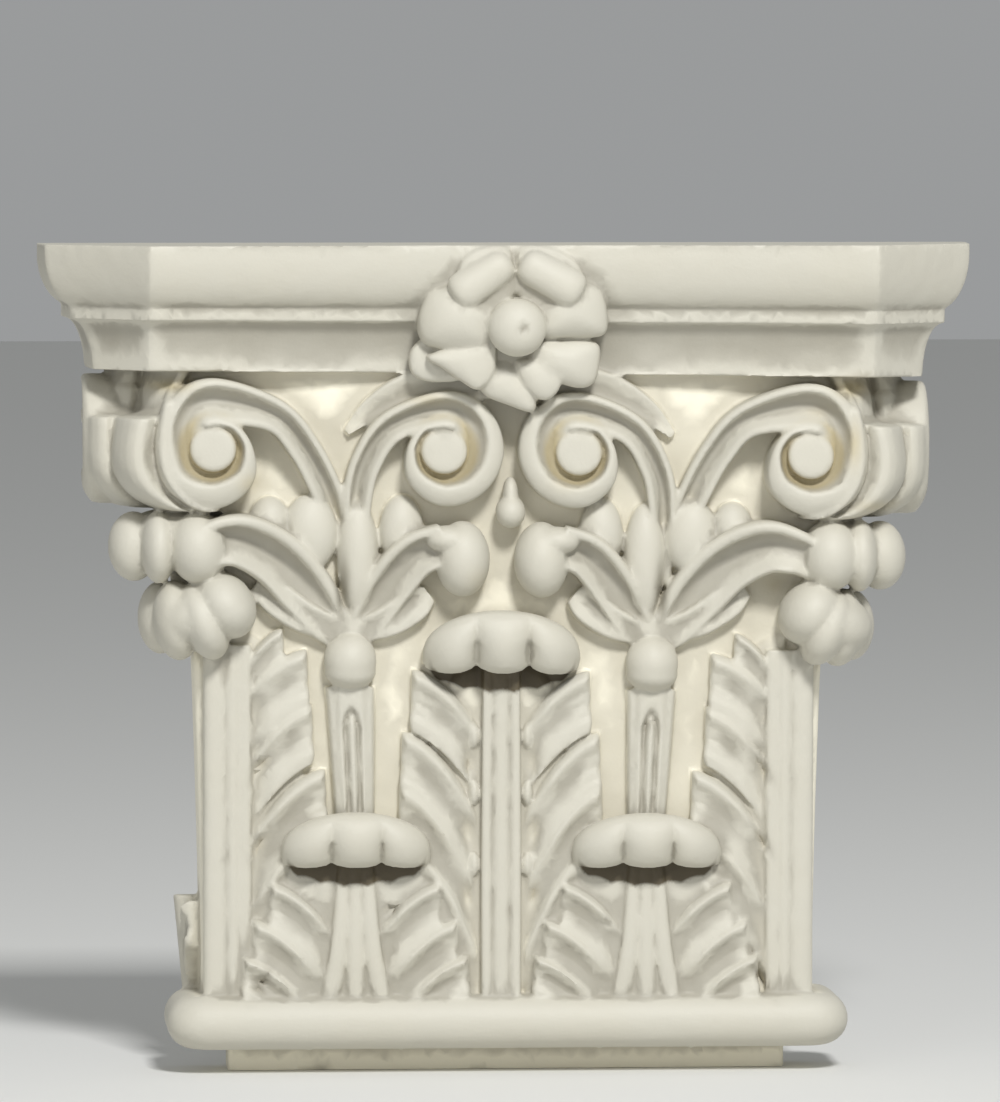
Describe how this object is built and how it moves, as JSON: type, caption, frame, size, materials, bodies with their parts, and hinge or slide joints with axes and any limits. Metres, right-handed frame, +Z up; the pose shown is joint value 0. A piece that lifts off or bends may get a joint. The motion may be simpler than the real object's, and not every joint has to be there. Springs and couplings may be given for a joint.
{
  "type": "pilaster capital",
  "caption": "Flat-backed cast plaster capital for a pilaster, with acanthus leaves, scrolled volutes, a flower and a moulded abacus.",
  "frame": {"origin": "centre of the flat back, halfway up, where the wall touches it", "axes": "+X to the viewer's right along the wall, +Y into the wall, so the carved front faces -Y, +Z up"},
  "size_m": [0.2258, 0.047, 0.2],
  "materials": {
    "cast_plaster": "matte"
  },
  "bodies": {
    "root": {"pilaster_capital": "cast_plaster"}
  },
  "joints": []
}
